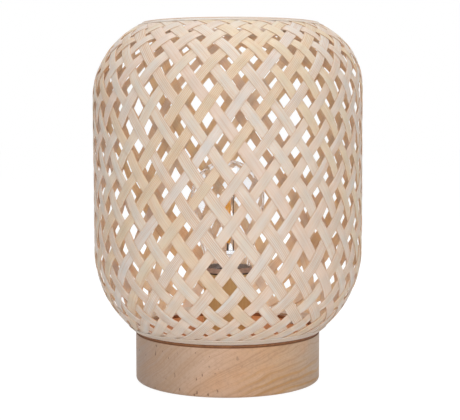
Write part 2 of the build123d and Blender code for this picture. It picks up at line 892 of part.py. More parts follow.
def bamboo_strip(hand):
    """One strip, straight from crossing to crossing. hand is 1 if it climbs to the right, -1 to the left."""
    rings = []
    for run, turn, row in strip_path:
        radius = wall_at(run)[0]
        climb = math.acos(strip_closest_radius / radius)
        spacing = 2 * row_turn * math.sqrt(radius**2 - strip_closest_radius**2)
        half_width = min(strip_width, spacing - strip_side_gap) / 2
        # the strip is cut level at its two ends, and square to itself elsewhere
        rise, reach = half_width * math.cos(climb), half_width * math.sin(climb)
        if (run, turn, row) in (strip_path[0], strip_path[-1]):
            rise, reach = 0, half_width / math.sin(climb)
        woven = plain_rows <= row < last_woven_row
        side = -1 if woven and row % 2 == 0 else 1
        out = hand * side * weave_depth
        corners = [
            (run + side_way * rise, turn - side_way * reach / radius, out + face * strip_thickness / 2)
            for side_way, face in ((1, -1), (-1, -1), (-1, 1), (1, 1))
        ]
        rings.append([point_by_wall(up, hand * around, off) for up, around, off in corners])
    faces = [flat_face(*rings[0]), flat_face(*rings[-1])]
    for lower, upper in zip(rings, rings[1:]):
        for corner in range(4):
            beside = (corner + 1) % 4
            if corner == 2:
                faces.append(flat_face(lower[corner], lower[beside], upper[beside]))
                faces.append(flat_face(lower[corner], upper[beside], upper[corner]))
            else:
                faces.append(flat_face(lower[corner], lower[beside], upper[corner]))
                faces.append(flat_face(lower[beside], upper[beside], upper[corner]))
    return Solid(Shell(faces))


def strip_set(strip, start_angle, first, count):
    """Every second strip of one family, from the first one given."""
    with BuildPart() as strips:
        with PolarLocations(
            0,
            count,
            start_angle=start_angle + first * strip_pitch,
            angular_range=2 * count * strip_pitch,
        ):
            add(strip, clean=False)
    return strips.part


for family, hand, start_angle in (
    ("right_strips", 1, strip_start_angle),
    ("left_strips", -1, strip_start_angle + weave_phase * strip_pitch),
):
    strip = bamboo_strip(hand)
    for name, first in (("a", 0), ("b", 1)):
        strips = strip_set(strip, start_angle, first, (strip_count + 1 - first) // 2)
        strips.label = f"{family}_{name}"
        export_step(strips, f"parts/{strips.label}.step")


def rim_band(start, end, inner, outer):
    """A thin hoop that lies along the wall, between two runs and two distances out from its middle."""
    return section(
        beside_wall(start, inner),
        beside_wall(end, inner),
        beside_wall(end, outer),
        beside_wall(start, outer),
    )


def hoop_section(radius, height):
    half = hoop_size / 2
    return section(
        (radius - half, height - half),
        (radius + half, height - half),
        (radius + half, height + half),
        (radius - half, height + half),
    )


weave_face = weave_depth + strip_thickness / 2
outer_band = (weave_face + outer_band_gap, weave_face + outer_band_gap + band_thickness)
inner_band = (-weave_face - inner_band_gap, -weave_face - inner_band_gap - band_thickness)
inner_band_start = strip_margin + hoop_gap
outer_band_start = hoop_size / 2

for name, start, width, sides in (
    ("bottom_band_outer", outer_band_start, outer_band_width, outer_band),
    ("bottom_band_inner", inner_band_start, inner_band_width, inner_band),
    ("top_band_outer", wall_length - outer_band_start - outer_band_width, outer_band_width, outer_band),
    ("top_band_inner", wall_length - inner_band_start - inner_band_width, inner_band_width, inner_band),
):
    with BuildPart() as band:
        revolve(rim_band(start, start + width, *sides), axis=Axis.Z)
    band.part.label = name
    export_step(band.part, f"parts/{name}.step")

with BuildPart() as bottom_hoop:
    revolve(hoop_section(bottom_rim, rim_height), axis=Axis.Z)
bottom_hoop.part.label = "bottom_hoop"
export_step(bottom_hoop.part, "parts/bottom_hoop.step")

with BuildPart() as top_hoop:
    revolve(hoop_section(top_rim, wall_at(wall_length)[1]), axis=Axis.Z)
top_hoop.part.label = "top_hoop"
export_step(top_hoop.part, "parts/top_hoop.step")

# ---------------------------------------------------------------- shade clips

with BuildPart() as clip:
    riser = hoop_inside - clip_gap
    lip_height = base_top + hoop_size + clip_gap
    clip_outline = outline(
        Plane.XZ,
        (riser - clip_thickness - clip_foot_length, base_top),
        (riser, base_top),
        (riser, lip_height),
        (bottom_rim, lip_height),
        (bottom_rim, lip_height + clip_thickness),
        (riser - clip_thickness, lip_height + clip_thickness),
        (riser - clip_thickness, base_top + clip_thickness),
        (riser - clip_thickness - clip_foot_length, base_top + clip_thickness),
    )
    extrude(clip_outline, amount=clip_width / 2, both=True)
    extrude(
        spot_faces(base_top, clip_screw_diameter + 2 * screw_clearance, (clip_screw_circle / 2, 0)),
        amount=clip_thickness,
        mode=Mode.SUBTRACT,
    )

with BuildPart() as shade_clips:
    with PolarLocations(0, clip_count, start_angle=clip_start_angle):
        add(clip.part)
shade_clips.part.label = "shade_clips"
export_step(shade_clips.part, "parts/shade_clips.step")

with BuildPart() as clip_screws:
    clip_top = base_top + clip_thickness
    extrude(clip_screw_faces(clip_top, clip_screw_head_diameter), amount=clip_screw_head_height)
    extrude(clip_screw_faces(clip_top, clip_screw_diameter), amount=-clip_screw_length)
clip_screws.part.label = "clip_screws"
export_step(clip_screws.part, "parts/clip_screws.step")
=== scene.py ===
"""Woven bamboo table lamp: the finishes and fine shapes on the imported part, with its studio."""

import json
import math
import random

import bmesh
import bpy
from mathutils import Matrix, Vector, noise

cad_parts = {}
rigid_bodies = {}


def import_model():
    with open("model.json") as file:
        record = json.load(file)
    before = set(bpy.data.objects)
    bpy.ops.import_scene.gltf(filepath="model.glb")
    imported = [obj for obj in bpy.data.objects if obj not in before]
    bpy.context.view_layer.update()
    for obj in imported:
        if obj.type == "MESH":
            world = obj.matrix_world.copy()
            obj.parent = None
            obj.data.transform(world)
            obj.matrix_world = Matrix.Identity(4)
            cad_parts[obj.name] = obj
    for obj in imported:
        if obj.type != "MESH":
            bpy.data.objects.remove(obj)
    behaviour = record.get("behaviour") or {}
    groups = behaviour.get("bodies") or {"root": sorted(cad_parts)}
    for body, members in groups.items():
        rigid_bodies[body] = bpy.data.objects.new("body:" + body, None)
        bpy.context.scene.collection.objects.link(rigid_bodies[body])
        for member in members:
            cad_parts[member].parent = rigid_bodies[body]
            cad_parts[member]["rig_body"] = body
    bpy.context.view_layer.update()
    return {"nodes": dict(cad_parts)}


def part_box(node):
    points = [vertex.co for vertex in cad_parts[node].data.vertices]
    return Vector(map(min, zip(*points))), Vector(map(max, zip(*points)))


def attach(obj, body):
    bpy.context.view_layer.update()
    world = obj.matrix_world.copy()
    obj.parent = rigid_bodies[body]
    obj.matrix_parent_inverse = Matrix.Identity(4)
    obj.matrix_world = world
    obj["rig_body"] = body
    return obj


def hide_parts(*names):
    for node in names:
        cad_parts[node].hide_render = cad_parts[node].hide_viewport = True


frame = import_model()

nodes = frame["nodes"]
MM = 0.001
base_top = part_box("base_body")[1].z
base_radius = 75 * MM
collar_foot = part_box("seal_collar")[0].z

# ---------------------------------------------------------------- shader sums


class Value:
    """A number or a node's output, with the sums that a material needs."""

    def __init__(self, maker, socket):
        self.maker = maker
        self.socket = socket

    def sum(self, operation, *others):
        return self.maker.node("Math", {"operation": operation}, [self, *others])

    def __add__(self, other):
        return self.sum("ADD", other)

    def __sub__(self, other):
        return self.sum("SUBTRACT", other)

    def __rsub__(self, other):
        return self.maker.node("Math", {"operation": "SUBTRACT"}, [other, self])

    def __mul__(self, other):
        return self.sum("MULTIPLY", other)

    def __truediv__(self, other):
        return self.sum("DIVIDE", other)

    def __rtruediv__(self, other):
        return self.maker.node("Math", {"operation": "DIVIDE"}, [other, self])

    def __pow__(self, other):
        return self.sum("POWER", other)

    __radd__ = __add__
    __rmul__ = __mul__

    def abs(self):
        return self.sum("ABSOLUTE")

    def fract(self):
        return self.sum("FRACT")

    def step(self, low, high):
        """0 below low, 1 above high and smooth between them."""
        settings = {"interpolation_type": "SMOOTHSTEP"}
        return self.maker.node("MapRange", settings, {"Value": self, "From Min": low, "From Max": high})


class Maker:
    """The nodes of a material or a world, which ends in one output node."""

    def __init__(self, owner, output):
        owner.use_nodes = True
        self.owner = owner
        self.tree = owner.node_tree
        self.tree.nodes.clear()
        self.output = self.tree.nodes.new("ShaderNodeOutput" + output)

    def show(self, surface):
        self.put(self.output.inputs["Surface"], surface)
        return self.owner

    def put(self, socket, value):
        if isinstance(value, Value):
            self.tree.links.new(value.socket, socket)
        elif hasattr(socket.default_value, "__len__") and len(value) == 3 and socket.type == "RGBA":
            socket.default_value = (*value, 1)
        else:
            socket.default_value = value

    def node(self, kind, settings=None, inputs=None, output=0):
        """A node of a kind, with its settings first and then its sockets, by name or in order."""
        made = self.tree.nodes.new("ShaderNode" + kind)
        for name, value in (settings or {}).items():
            if name == "stops":
                while len(made.color_ramp.elements) < len(value):
                    made.color_ramp.elements.new(1)
                for element, (place, colour) in zip(made.color_ramp.elements, value):
                    element.position = place
                    element.color = (*colour, 1)
            else:
                setattr(made, name, value)
        named = inputs.items() if isinstance(inputs, dict) else enumerate(inputs or ())
        for name, value in named:
            self.put(made.inputs[name], value)
        return Value(self, made.outputs[output])


class Finish(Maker):
    """One node material around a Principled shader."""

    def __init__(self, name):
        super().__init__(bpy.data.materials.new(name), "Material")
        self.shader = self.node("BsdfPrincipled")
        self.show(self.shader)

    def set(self, **inputs):
        for name, value in inputs.items():
            self.put(self.shader.socket.node.inputs[name.replace("_", " ")], value)
        return self.owner

    def place(self):
        """Object coordinates as three values."""
        point = self.node("TexCoord", output="Object")
        return [self.node("SeparateXYZ", inputs=[point], output=axis) for axis in range(3)]

    def attribute(self, name):
        return self.node("Attribute", {"attribute_name": name}, output="Fac")

    def point(self, x, y, z):
        return self.node("CombineXYZ", inputs=[x, y, z])

    def noise(self, point, scale=1.0, detail=2.0, roughness=0.5):
        inputs = {"Vector": point, "Scale": scale, "Detail": detail, "Roughness": roughness}
        return self.node("TexNoise", inputs=inputs)

    def mix(self, share, first, second):
        return self.node("Mix", {"data_type": "RGBA"}, {0: share, 6: first, 7: second}, output=2)

    def ramp(self, value, *stops):
        return self.node("ValToRGB", {"stops": stops}, [value])

    def bump(self, height, distance, strength=1.0):
        return self.node("Bump", inputs={"Height": height, "Distance": distance, "Strength": strength})


def tone(*screen):
    """A colour as seen on a screen, 0 to 255 each, in the shader's own scale."""
    shares = (part / 255 for part in screen)
    return tuple(
        share / 12.92 if share <= 0.04045 else ((share + 0.055) / 1.055) ** 2.4 for share in shares
    )


# ---------------------------------------------------------------- finishes

# what every point of a strip knows: metres from its middle line, metres along it, its own number from
# 0 to 1, and how near its edge it is
STRIP_TAGS = ("across", "along", "strip", "edge")
node_spacing = 0.31


def bamboo(name, pale, warm, streak, roughness=0.5):
    """Split bamboo: fibre lines along the strip, a tone of its own for each strip, rare faint nodes, and
    painted shade along its edges.
    """
    made = Finish(name)
    across, along, strip, edge = (made.attribute(tag) for tag in STRIP_TAGS)
    # cells per metre, many across the fibre and few along it
    broad = made.noise(made.point(across * 420, along * 6, strip * 97), detail=2)
    fine = made.noise(made.point(across * 2600, along * 22, strip * 61), detail=3, roughness=0.6)
    mottle = made.noise(made.point(across * 60, along * 18, strip * 43), detail=3)
    place = made.noise(made.point(across * 150, along * 9, strip * 31), detail=1)
    sway = made.noise(made.point(strip * 17, along * 30, 0.0), detail=1)
    own = made.node("TexWhiteNoise", {"noise_dimensions": "1D"}, {"W": strip * 913}, output="Value")
    kind = made.node("TexWhiteNoise", {"noise_dimensions": "1D"}, {"W": strip * 389 + 5}, output="Value")
    # thin dark lines, in some of the strips and only in places
    comb = ((across * 820 + sway * 0.9).fract() - 0.5).abs().step(0.30, 0.04)
    comb = comb * kind.step(0.30, 0.60) * place.step(0.36, 0.56) * (0.5 + fine * 0.9)
    ring = ((along / node_spacing + strip * 7.31).fract() - 0.5).abs().step(0.006, 0.001)
    ring = ring * own.step(0.4, 0.6)

    colour = made.mix(broad.step(0.30, 0.70), pale, warm)
    # each strip's own tone: golden, greyer or pinker
    colour = made.mix(own.step(0.62, 0.95) * 0.55, colour, tone(226, 200, 158))
    colour = made.mix(own.step(0.44, 0.08) * 0.75, colour, tone(224, 216, 210))
    colour = made.mix(kind.step(0.30, 0.05) * 0.60, colour, tone(230, 202, 186))
    colour = made.mix(mottle.step(0.50, 0.80) * 0.30, colour, streak)
    colour = made.mix(fine.step(0.44, 0.72) * 0.46, colour, streak)
    colour = made.mix(comb * 0.75, colour, streak)
    colour = made.mix(ring * 0.22, colour, streak)
    # painted shade: each strip darker at its edges, where it passes under its neighbours
    colour = made.mix(edge.step(0.86, 1.0) * 0.45, colour, streak)
    height = fine * 0.4 + broad * 0.4 - comb * 0.5 + ring * 0.4
    return made.set(
        Base_Color=colour,
        Roughness=roughness + fine * 0.2,
        Specular_IOR_Level=0.3,
        Subsurface_Weight=0.7,
        Subsurface_Radius=(1.0, 0.88, 0.76),
        Subsurface_Scale=1.5 * MM,
        Normal=made.bump(height, 0.10 * MM, 0.6),
    )


def turned_wood(name):
    """Rubberwood from glued boards: greyer and darker on the left, partly painted shade, warmer in the
    middle, golden lines on the right, and painted shade on the top face.
    """
    made = Finish(name)
    x, y, z = made.place()
    sway = made.noise(made.point(x * 16, y * 16, z * 34), detail=2)
    # the growth layer that each point lies in, in metres
    layer = z - x * 0.62 + x * x * 4.2 + sway * 0.016
    rings = made.noise(made.point(layer * 190, x * 5, y * 9), detail=3)
    lines = made.noise(made.point(layer * 900, x * 14, y * 22), detail=3, roughness=0.6)
    fibre = made.noise(made.point(layer * 2600, x * 60, y * 60), detail=2, roughness=0.6)
    patch = made.noise(made.point(x * 26 + 3.1, y * 18, z * 40), detail=3)
    fuzz = made.noise(made.point(x * 420, y * 420, z * 420), detail=4, roughness=0.7)
    pores = made.noise(made.point(x * 330, y * 330, z * 190), detail=1)
    # the broad tone from the left edge to the right one, darker towards both edges and most on the left:
    # partly the boards' own tone, partly painted shade
    colour = made.ramp(
        (x + base_radius) / (2 * base_radius) + patch * 0.16 - 0.08,
        (0.04, tone(174, 150, 134)),
        (0.22, tone(188, 160, 138)),
        (0.38, tone(204, 172, 148)),
        (0.56, tone(206, 166, 134)),
        (0.78, tone(202, 168, 136)),
        (0.95, tone(194, 170, 148)),
    )
    colour = made.mix(rings.step(0.46, 0.66) * 0.35, colour, tone(180, 144, 112))
    colour = made.mix(patch.step(0.48, 0.66) * x.step(-0.045, 0.0) * 0.45, colour, tone(210, 160, 118))
    golden = x.step(-0.004, 0.03) * z.step(0.030, 0.012) * (layer * 160).fract().step(0.55, 0.75)
    colour = made.mix(golden * (0.35 + rings * 0.6), colour, tone(190, 142, 80))
    colour = made.mix(lines.step(0.46, 0.66) * 0.40, colour, tone(170, 130, 98))
    colour = made.mix(fibre.step(0.50, 0.80) * 0.35, colour, tone(222, 190, 164))
    colour = made.mix(fuzz.step(0.42, 0.72) * 0.30, colour, tone(162, 126, 100))
    # the top face: painted warm shade inside the shade, and a painted shadow in the gap where the hoop
    # stands on it
    top = z.step(base_top - 0.8 * MM, base_top - 0.3 * MM)
    radius = (x * x + y * y) ** 0.5
    colour = made.mix(top * 0.9, colour, tone(200, 128, 74))
    colour = made.mix(top * radius.step(72.5 * MM, 73.5 * MM), colour, tone(120, 84, 58))
    specks = pores.step(0.70, 0.76) * x.step(0.03, -0.02)
    colour = made.mix(specks * 0.75, colour, tone(104, 74, 54))
    return made.set(
        Base_Color=colour,
        Roughness=0.45 + lines * 0.16,
        Specular_IOR_Level=0.35,
        Normal=made.bump(lines * 0.5 + fibre * 0.4 - specks, 0.12 * MM, 0.6),
    )


def upright_wood(name, deep, pale, cloudy):
    """Wood with upright grain between two tones, and cloudy patches of a third."""
    made = Finish(name)
    x, y, z = made.place()
    grain = made.noise(made.point(x * 260, y * 260, z * 16), detail=3, roughness=0.6)
    cloud = made.noise(made.point(x * 40, y * 40, z * 30), detail=2)
    colour = made.ramp(grain, (0.3, deep), (0.7, pale))
    colour = made.mix(cloud.step(0.4, 0.8) * 0.4, colour, cloudy)
    return made.set(
        Base_Color=colour,
        Roughness=0.6 + grain * 0.15,
        Normal=made.bump(grain, 0.1 * MM, 0.5),
    )


def moulded(name, colour, shade, roughness=0.45):
    """Moulded plastic, rubber or ceramic with a fine grain."""
    made = Finish(name)
    x, y, z = made.place()
    point = made.point(x, y, z)
    cloud = made.noise(point, scale=60, detail=3)
    grain = made.noise(point, scale=2400, detail=2)
    return made.set(
        Base_Color=made.mix(cloud.step(0.3, 0.8), colour, shade),
        Roughness=roughness + grain * 0.15,
        Normal=made.bump(grain, 0.04 * MM, 0.5),
    )


def metal(name, colour, shade, roughness=0.25):
    """Drawn or stamped metal with fine handling marks."""
    made = Finish(name)
    x, y, z = made.place()
    point = made.point(x, y, z)
    cloud = made.noise(point, scale=90, detail=4)
    marks = made.noise(made.point(x * 1400, y * 1400, z * 120), detail=3)
    return made.set(
        Base_Color=made.mix(cloud.step(0.35, 0.75), colour, shade),
        Roughness=roughness + marks * 0.18,
        Metallic=1.0,
        Normal=made.bump(marks, 0.03 * MM, 0.4),
    )


def clear_glass(name):
    """Thin clear glass with the faintest haze."""
    made = Finish(name)
    x, y, z = made.place()
    haze = made.noise(made.point(x, y, z), scale=45, detail=3)
    return made.set(
        Base_Color=made.mix(haze.step(0.3, 0.8), tone(253, 253, 254), tone(248, 249, 251)),
        Roughness=haze * 0.02,
        Transmission_Weight=1.0,
        IOR=1.46,
    )


def ribbed_collar(name):
    """Black rubber with a pale grey-brown lip, ringed with fine grooves; the lip is partly dust and partly
    painted light, and the grooves hold painted shade.
    """
    made = Finish(name)
    x, y, z = made.place()
    radius = (x * x + y * y) ** 0.5
    dust = made.noise(made.point(x, y, z), scale=300, detail=3)
    grooves = ((radius * 620 + z * 700).fract() - 0.5).abs().step(0.34, 0.44)
    lip = z.step(collar_foot + 0.7 * MM, collar_foot + 1.2 * MM)
    # the lip's pale tone: partly dust, partly painted light in place of the shade that the glass bulb casts
    lip_dust_and_light = made.mix(dust.step(0.3, 0.7), tone(224, 204, 190), tone(204, 182, 168))
    # painted shade: the lip darker in its grooves
    lip_dust_and_light = made.mix(grooves * 0.6, lip_dust_and_light, tone(150, 128, 114))
    return made.set(
        Base_Color=made.mix(lip, tone(46, 38, 33), lip_dust_and_light),
        Roughness=0.6 + dust * 0.15,
        Normal=made.bump(dust * 0.3 - grooves * lip, 0.2 * MM, 0.6),
    )


def filament_coat(name):
    """Amber phosphor over a row of tiny chips, with a faint painted glow though the bulb is off."""
    made = Finish(name)
    x, y, z = made.place()
    grain = made.noise(made.point(x, y, z), scale=700, detail=3)
    chips = ((z * 620).fract() - 0.5).abs().step(0.2, 0.45)
    colour = made.mix(grain.step(0.3, 0.8), tone(242, 172, 74), tone(228, 150, 54))
    colour = made.mix(chips * 0.35, colour, tone(246, 200, 106))
    return made.set(
        Base_Color=colour,
        # painted light: a faint glow in the phosphor's colour, though the bulb is off
        Emission_Color=colour,
        Emission_Strength=0.3,
        Roughness=0.4 + grain * 0.15,
        Normal=made.bump(grain + chips * 0.5, 0.12 * MM, 0.6),
    )


def cell_jacket(name):
    """Shrunk sleeve in two plain colours with bare metal at the nub."""
    made = Finish(name)
    x, y, z = made.place()
    cloud = made.noise(made.point(x, y, z), scale=130, detail=2)
    wrap = z.sum("ARCTAN2", x)
    band = (y + 12 * MM).abs().step(12.5 * MM, 13.5 * MM)
    colour = made.mix(band, tone(46, 62, 74), tone(196, 142, 74))
    return made.set(
        Base_Color=made.mix(cloud * 0.3, colour, tone(90, 96, 100)),
        Roughness=0.28 + (wrap * 40).fract() * 0.04,
        Metallic=0.25,
        Normal=made.bump(cloud, 0.05 * MM, 0.4),
    )


def circuit_mask(name):
    """Green lacquer over copper tracks."""
    made = Finish(name)
    x, y, z = made.place()
    track_x = ((x * 420).fract() - 0.5).abs().step(0.36, 0.40)
    track_y = ((y * 310).fract() - 0.5).abs().step(0.40, 0.44)
    area = made.noise(made.point(x, y, z), scale=160, detail=1).step(0.46, 0.5)
    tracks = track_x * area + track_y * (1 - area)
    return made.set(
        Base_Color=made.mix(tracks * 0.6, tone(22, 84, 52), tone(58, 128, 74)),
        Roughness=0.32 - tracks * 0.08,
        Normal=made.bump(tracks, 0.05 * MM, 0.6),
    )


strip_face = bamboo("bamboo_outside", tone(227, 217, 208), tone(227, 211, 195), tone(206, 160, 122))
# the inner face, paler and warmer than the outer one: partly the split side's own tone, partly painted warm
# light that bounces inside the shade
strip_back = bamboo("bamboo_inside", tone(246, 220, 198), tone(242, 207, 177), tone(218, 168, 126), 0.6)
# painted light: the holder's column wood is paler than the wood itself, for the dim inside of the shade
# under the bulb
column_wood = upright_wood("column_wood", tone(232, 200, 136), tone(250, 224, 166), tone(238, 202, 132))
# painted shadow: the bottom hoop's own brown darkened for the shadow in the gap between the shade's rim and
# the base
dark_hoop = upright_wood("dark_hoop", tone(122, 76, 44), tone(154, 102, 64), tone(128, 82, 50))
plastic_black = moulded("black_plastic", tone(38, 38, 38), tone(48, 47, 46), 0.42)
steel = metal("zinc_steel", tone(196, 198, 200), tone(170, 173, 176), 0.28)
brass = metal("nickel_brass", tone(206, 188, 140), tone(188, 168, 118), 0.25)
cap_metal = metal("cap_aluminium", tone(214, 215, 216), tone(190, 191, 193), 0.22)
spring_metal = metal("spring_steel", tone(205, 204, 200), tone(180, 178, 172), 0.2)
glass = clear_glass("clear_glass")

finishes = {
    "base_body": turned_wood("turned_rubberwood"),
    "feet": moulded("feet_rubber", tone(52, 49, 46), tone(64, 60, 56), 0.65),
    "bottom_cover": plastic_black,
    "cover_screws": steel,
    "battery_box": plastic_black,
    "batteries": cell_jacket("cell_sleeve"),
    "contact_plates": spring_metal,
    "contact_springs": spring_metal,
    "battery_door": plastic_black,
    "switch_body": plastic_black,
    "switch_slider": moulded("switch_knob", tone(200, 198, 194), tone(186, 184, 180), 0.4),
    "circuit_board": circuit_mask("circuit_lacquer"),
    "board_screws": steel,
    "inner_leads": moulded("lead_jackets", tone(150, 30, 24), tone(130, 24, 20), 0.4),
    "lamp_leads": moulded("lamp_lead_jackets", tone(150, 30, 24), tone(130, 24, 20), 0.4),
    "threaded_nipple": brass,
    "nipple_nuts": brass,
    "nipple_washer": steel,
    "holder_cup": column_wood,
    "lampholder": plastic_black,
    "contact_disc": moulded("white_ceramic", tone(232, 228, 220), tone(222, 217, 208), 0.25),
    "screw_shell": brass,
    "centre_contact": spring_metal,
    "seal_collar": ribbed_collar("collar_rubber"),
    "bulb_glass": glass,
    "bulb_cap": cap_metal,
    "bulb_insulator": moulded("cap_insulator", tone(30, 26, 24), tone(42, 36, 32), 0.15),
    "bulb_contact": cap_metal,
    "glass_stem": glass,
    "led_filament": filament_coat("amber_phosphor"),
    "support_wires": metal("nickel_wire", tone(112, 106, 104), tone(92, 88, 86), 0.35),
    "shade_clips": spring_metal,
    "clip_screws": steel,
}


def dress(thing, *materials):
    """Give a piece its finishes in place of those it has."""
    thing.data.materials.clear()
    for material in materials:
        thing.data.materials.append(material)


for name, material in finishes.items():
    dress(nodes[name], material)

# ---------------------------------------------------------------- woven wall

# the same wall as the solids have: two shoulders and a straight stretch between the hoops
hoop_size = 2.4 * MM
low_hoop_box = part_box("bottom_hoop")
high_hoop_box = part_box("top_hoop")
low_rim = low_hoop_box[1].x - hoop_size / 2
high_rim = high_hoop_box[1].x - hoop_size / 2
rim_height = (low_hoop_box[0].z + low_hoop_box[1].z) / 2
top_height = (high_hoop_box[0].z + high_hoop_box[1].z) / 2
low_shoulder = 68.0 * MM
high_shoulder = 55.9 * MM
wall_bottom = rim_height + low_shoulder
wall_top = top_height - high_shoulder
wall_radius = 216.5 / 2 * MM

strip_count = 31
strip_closest_radius = 63.75 * MM
strip_width = 8.6 * MM
strip_thickness = 0.45 * MM
strip_start_angle = math.radians(-88.8)
strip_margin = hoop_size * math.sqrt(0.5) + 0.5 * MM
# how much slimmer the strips are in the upper half, and their most width as a share of their spacing
upper_slimming = 0.09
low_packing = 0.84
high_packing = 1.35
# how unlike each other and how uneven they are: width, edges, path, face and the hollow of the split
width_spread = (-0.05, 0.03)
edge_wander = 0.05
path_wander = 0.25 * MM
face_wander = 0.08 * MM
strip_crown = 0.03 * MM
# how far a strip rises over its neighbour where they crowd
shingle_rise = 0.3 * MM
strip_rounding = 0.09 * MM
cuts_along = 220
cuts_across = 4
tapered_cuts = 4

# one row is the climb from one crossing to the next
row_turn = math.pi / strip_count
plain_rows = 4
weave_phase = 0.9
weave_depth = 0.38 * MM
crossing_bend = 0.4
weave_face = weave_depth + strip_thickness / 2

# how far the wall stands off the lamp's axis towards +X at the belly and at the top rim
belly_offset = 0.3 * MM
rim_offset = 2.4 * MM


def shoulder(height, fall):
    """Radius and length of an arc that leaves the upright wall smoothly and draws in over a height."""
    radius = (height**2 + fall**2) / (2 * fall)
    return radius, radius * math.asin(height / radius)


low_arc_radius, low_arc_length = shoulder(low_shoulder, wall_radius - low_rim)
high_arc_radius, high_arc_length = shoulder(high_shoulder, wall_radius - high_rim)
wall_length = low_arc_length + wall_top - wall_bottom + high_arc_length


def wall_at(run):
    """Radius, height and lean of the wall's middle, a run up it from the lower hoop."""
    if run < low_arc_length:
        lean = (low_arc_length - run) / low_arc_radius
        radius = wall_radius - low_arc_radius * (1 - math.cos(lean))
        return radius, wall_bottom - low_arc_radius * math.sin(lean), lean
    if run < wall_length - high_arc_length:
        return wall_radius, wall_bottom + run - low_arc_length, 0.0
    lean = (wall_length - high_arc_length - run) / high_arc_radius
    radius = wall_radius - high_arc_radius * (1 - math.cos(lean))
    return radius, wall_top - high_arc_radius * math.sin(lean), lean


def eased(value, low, high):
    """0 below low, 1 above high and smooth between them."""
    share = min(max((value - low) / (high - low), 0), 1)
    return share * share * (3 - 2 * share)


def hand_drift(angle, run):
    """How far the plaiter's hand let the weave drift, as an angle round the wall and a length up it."""
    share = min(max(run / wall_length, 0), 1)
    rise = 2 * share - 1
    side = math.cos(angle)
    far = eased(math.sin(angle), 0.0, 0.5)

    # degrees: the front turns with height, the sides turn back, and the far side keeps one turn
    twist = 0.3 + 4.0 * eased(share, 0.28, 0.72) - 0.7 * rise**2
    twist += (1.75 - 1.33 * rise) * side - (1.0 + 4.1 * rise) * side**2
    twist += far * (3.8 * side + 3.2 * (1 - side**2) * eased(share, 0.70, 0.42))

    # millimetres: three soft waves round the belly, rows that settled, and rows gathered at the sides
    swell = 5.7 * math.sin(3 * angle + 1.46 * math.pi) * math.exp(-(((share - 0.47) / 0.23) ** 2))
    settle = 0.6 + 2.3 * eased(share, 0.66, 0.9)
    settle *= eased(share, 0, 0.08) * eased(share, 0.995, 0.92)
    gather = 0.6 + 1.6 * rise - 0.6 * rise**2 - 6.0 * side**2 + (1.2 - 0.7 * rise) * side
    gather *= eased(share, 0, 0.08) * eased(share, 1, 0.94)

    # a small wander from crossing to crossing, none at the rims
    calm = 0.8 * MM * math.sin(math.pi * share) ** 2
    point = Vector((math.cos(angle) * 1.4, math.sin(angle) * 1.4, share * 2.2))
    return (
        math.radians(twist) + calm * noise.noise(point + Vector((7.3, 1.1, 4.7))) / wall_radius,
        (swell - settle + gather) * MM + calm * noise.noise(point),
    )


def shade_lean(height):
    """How far the hand-made wall stands off the lamp's axis towards +X at a height."""
    belly = eased(height, rim_height, wall_bottom) - eased(height, 165 * MM, 205 * MM)
    rim = eased(height, wall_top - 6 * MM, top_height - 12 * MM)
    return belly_offset * belly + rim_offset * rim


def point_by_wall(run, angle, out):
    """A point beside the wall, with the hand's drift in it."""
    twist, up_drift = hand_drift(angle, run)
    radius, height, lean = wall_at(run + up_drift)
    angle += twist
    radius += out * math.cos(lean)
    height -= out * math.sin(lean)
    return Vector((radius * math.cos(angle) + shade_lean(height), radius * math.sin(angle), height))


def strip_course(steps):
    """(length, run, turn) at even steps along a strip that lies on the wall without bending sideways."""
    course = []
    run, turn, length = 0.0, 0.0, 0.0
    step = 0.05 * MM
    while run < wall_length - strip_margin:
        radius = wall_at(run)[0]
        rise = math.sqrt(1 - (strip_closest_radius / radius) ** 2)
        turn += step * strip_closest_radius / (radius * radius * rise)
        length += step / rise
        run += step
        if run >= strip_margin:
            course.append((length, run, turn))
    return [course[round(number * (len(course) - 1) / steps)] for number in range(steps + 1)]


course = strip_course(cuts_along)


def swing(turn):
    """From -1, inside the wall, to 1, outside it, for a strip that climbs to the right."""
    phase = turn / row_turn - weave_phase
    if phase < plain_rows - 1:
        return 1.0
    wave = -math.cos(math.pi * phase)
    return wave * math.sqrt((1 + crossing_bend**2) / (wave**2 + crossing_bend**2))


def to_piece(mesh, name, node, *materials):
    """A finished mesh as a smooth piece that stands for a node of the frame and rides with it."""
    data = bpy.data.meshes.new(name)
    mesh.to_mesh(data)
    mesh.free()
    data.shade_smooth()
    piece = bpy.data.objects.new(name, data)
    bpy.context.scene.collection.objects.link(piece)
    dress(piece, *materials)
    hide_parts(node)
    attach(piece, nodes[node]["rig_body"])
    return piece


